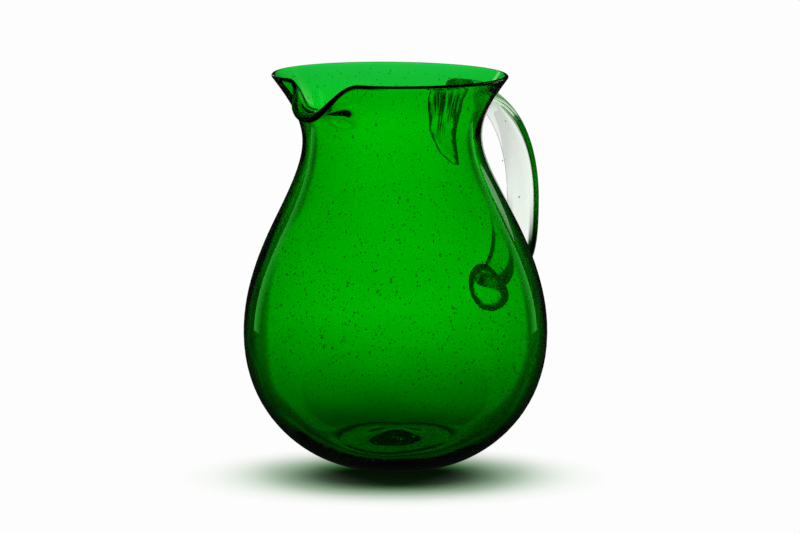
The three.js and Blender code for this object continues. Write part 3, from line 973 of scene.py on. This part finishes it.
def band_fade(tree):
    """The bright band fades upwards into the ceiling's black."""
    place = add(tree, "ShaderNodeTexCoord", out="Object")
    height = add(tree, "ShaderNodeSeparateXYZ", (place,), "Z")
    low, high = (limit * MM for limit in BAND_FADE_HEIGHTS)
    return add(tree, "ShaderNodeMapRange", {
        "Value": height, "From Min": low, "From Max": high, "To Min": 1.0, "To Max": 0.0},
        "Result", interpolation_type="SMOOTHSTEP")


def surround():
    """A black ceiling gives the lip its dark line, and a dim grey surround keeps the white of the
    room off the glass, but for a bright band and a strip light on both sides of the view."""
    dim = flat_light("dim_surround", "FFFFFF", SURROUND_LEVEL)
    bright = flat_light("bright_band", "FFFFFF", band_fade)
    strip = flat_light("strip_light", "59FF61", strip_fade)
    disc("ceiling", DISC_HOLE, CEILING_RADIUS, CEILING_HEIGHT,
         flat_light("black_ceiling", "000000", 0), ("glossy", "transmission"))
    standing_card("surround", 0, 360, SURROUND_DISTANCE, (0, CEILING_HEIGHT), dim)
    disc("surround_floor", SURROUND_FLOOR_RADIUS, SURROUND_DISTANCE, SURROUND_FLOOR_HEIGHT, dim,
         ("glossy",))
    view = math.degrees(VIEW_AZIMUTH)
    for side, way in (("right", -1), ("left", 1)):
        for card, angles, distance, heights, light in (
                ("bright_band_", BAND_ANGLES, BAND_DISTANCE, BAND_HEIGHTS, bright),
                ("strip_", STRIP_ANGLES, STRIP_DISTANCE, STRIP_HEIGHTS, strip)):
            start, end = sorted(view + way * angle for angle in angles)
            standing_card(card + side, start, end, distance, heights, light)


surround()


# Floor: white paper, evenly lit, with the lamps' shadow of the pitcher and a painted shadow. Far out
# it passes into the white room

FLOOR_RADIUS = 8000
SHADOW_SHIFT = 39.3         # how far in front of the vessel's axis the shadow's middle lies
SHADOW_OVAL = (0.56, 1.09, 1)          # its length along the view and its breadth across it
SHADOW_FADE = (27, 110)                # over these radii of a round shadow it fades out
# Painted shadow: the paper darkened in the shadow, by radii too
PAINTED_SHADOW_PAPER = [(0, "959595"), (33, "A0ADA0"), (52, "F7FAF7"), (1000, "FCFCFC")]
# Painted green light in the shadow, for what the glass lets through, from the fade's start to its
# end
PAINTED_SHADOW_GLOW = [(0, "7CFF7C"), (0.25, "CEFFCB"), (0.5, "EDFFEC"), (0.75, "FBFFF9"), (1, "FDFDFD")]
# How bright the glass shows the floor, with a painted shadow, by distance from the axis: most so
# behind the belly, and least close behind the foot
PAINTED_FLOOR_SEEN = [(55, 0.14), (115, 0.37), (220, 0.62), (400, 0.93), (660, 1.0), (1900, 0.75)]
FLOOR_SEEN_REACH = 2000


def white_floor():
    material, tree = new_material("white_floor")
    place = add(tree, "ShaderNodeTexCoord", out="Object")
    rays = add(tree, "ShaderNodeLightPath").outputs
    middle = (Vector((VESSEL_X, 0, 0)) - AHEAD * SHADOW_SHIFT) * MM
    oval = add(tree, "ShaderNodeMapping", {
        "Vector": place, "Location": middle, "Rotation": (0, 0, VIEW_AZIMUTH),
        "Scale": SHADOW_OVAL}, "Vector", vector_type="TEXTURE")
    outward = add(tree, "ShaderNodeVectorMath", (oval,), "Value", operation="LENGTH")
    # Painted shadow: the paper's colour darkens towards the shadow's middle
    paper = add(tree, "ShaderNodeValToRGB", {"Fac": outward}, "Color",
                [(radius * MM, linear(colour)) for radius, colour in PAINTED_SHADOW_PAPER])
    paint = add(tree, "ShaderNodeBsdfDiffuse", {"Color": paper}, "BSDF")
    far = add(tree, "ShaderNodeMapRange", {
        "Value": outward, "From Min": SHADOW_FADE[0] * MM, "From Max": SHADOW_FADE[1] * MM,
        "To Min": 0.0, "To Max": 1.0}, "Result", interpolation_type="SMOOTHSTEP")
    # Painted light: a green glow in the shadow, where the glass lets light through
    painted_green_glow = add(tree, "ShaderNodeValToRGB", {"Fac": far}, "Color",
                 [(where, linear(colour)) for where, colour in PAINTED_SHADOW_GLOW])
    from_axis = add(tree, "ShaderNodeVectorMath", (place, (VESSEL_X * MM, 0, 0)), "Vector",
                    operation="SUBTRACT")
    reach = add(tree, "ShaderNodeVectorMath", (from_axis,), "Value", operation="LENGTH")
    reach = add(tree, "ShaderNodeMath", (reach, FLOOR_SEEN_REACH * MM), "Value",
                operation="DIVIDE")
    # Painted shadow of the pitcher on the floor, as the glass shows it
    behind = add(tree, "ShaderNodeValToRGB", {"Fac": reach}, "Color",
                 [(distance / FLOOR_SEEN_REACH, linear("FFFFFF", level))
                  for distance, level in PAINTED_FLOOR_SEEN])
    through_glass = rays["Is Transmission Ray"]
    shade = add(tree, "ShaderNodeMix", {
        "Factor_Float": through_glass, "A_Color": painted_green_glow, "B_Color": behind},
        "Result_Color", data_type="RGBA")
    glow = add(tree, "ShaderNodeEmission", {"Color": shade, "Strength": 1.0}, "Emission")
    seen = add(tree, "ShaderNodeMath", (rays["Is Camera Ray"], rays["Is Glossy Ray"]), "Value",
               operation="MAXIMUM")
    share = add(tree, "ShaderNodeMath", (seen, far), "Value", operation="MULTIPLY")
    share = add(tree, "ShaderNodeMath", (share, through_glass), "Value", operation="MAXIMUM")
    surface = add(tree, "ShaderNodeMixShader", (share, paint, glow), "Shader")
    add(tree, "ShaderNodeOutputMaterial", {"Surface": surface})
    material.cycles.emission_sampling = "NONE"
    return material


disc("floor", DISC_HOLE, FLOOR_RADIUS, 0, white_floor(),
     ("camera", "diffuse", "glossy", "transmission", "shadow"))


# Room: white for whatever is seen, and a faint fill for the floor

ROOM_FILL = 0.03


def white_room():
    world = bpy.data.worlds.new("white_room")
    bpy.context.scene.world = world
    world.use_nodes = True
    tree = world.node_tree
    tree.nodes.clear()
    rays = add(tree, "ShaderNodeLightPath").outputs
    seen = rays["Is Camera Ray"]
    for ray in ("Is Glossy Ray", "Is Transmission Ray"):
        seen = add(tree, "ShaderNodeMath", (seen, rays[ray]), "Value", operation="MAXIMUM")
    level = add(tree, "ShaderNodeMapRange", {
        "Value": seen, "From Min": 0.0, "From Max": 1.0, "To Min": ROOM_FILL, "To Max": 1.0},
        "Result")
    white = add(tree, "ShaderNodeBackground", {"Color": linear("FFFFFF"), "Strength": level},
                "Background")
    add(tree, "ShaderNodeOutputWorld", {"Surface": white})


white_room()


# Lamps: one above and a little behind, and one at either side, which narrow the shadow

def soft_lamp(name, aside, behind, spread, energy):
    """A lamp far off, tilted from straight above by two angles, with a soft edge."""
    light = bpy.data.lights.new(name, "SUN")
    light.energy = energy
    light.angle = math.radians(spread)
    lamp = bpy.data.objects.new(name, light)
    bpy.context.scene.collection.objects.link(lamp)
    way = (Vector((0, 0, 1)) + RIGHT * math.tan(math.radians(aside))
           + AHEAD * math.tan(math.radians(behind)))
    lamp.rotation_euler = way.to_track_quat("Z", "Y").to_euler()
    seen_by(lamp, "diffuse", "volume_scatter", "shadow")


soft_lamp("lamp_behind", aside=0, behind=14, spread=30, energy=1.4)
soft_lamp("lamp_left", aside=-32, behind=18, spread=60, energy=1.0)
soft_lamp("lamp_right", aside=32, behind=18, spread=60, energy=1.0)

scene = bpy.context.scene
scene.view_settings.view_transform = "Standard"
scene.cycles.max_bounces = 32
scene.cycles.transmission_bounces = 32
scene.cycles.glossy_bounces = 16
scene.cycles.transparent_max_bounces = 32
scene.cycles.caustics_reflective = False
scene.cycles.caustics_refractive = False
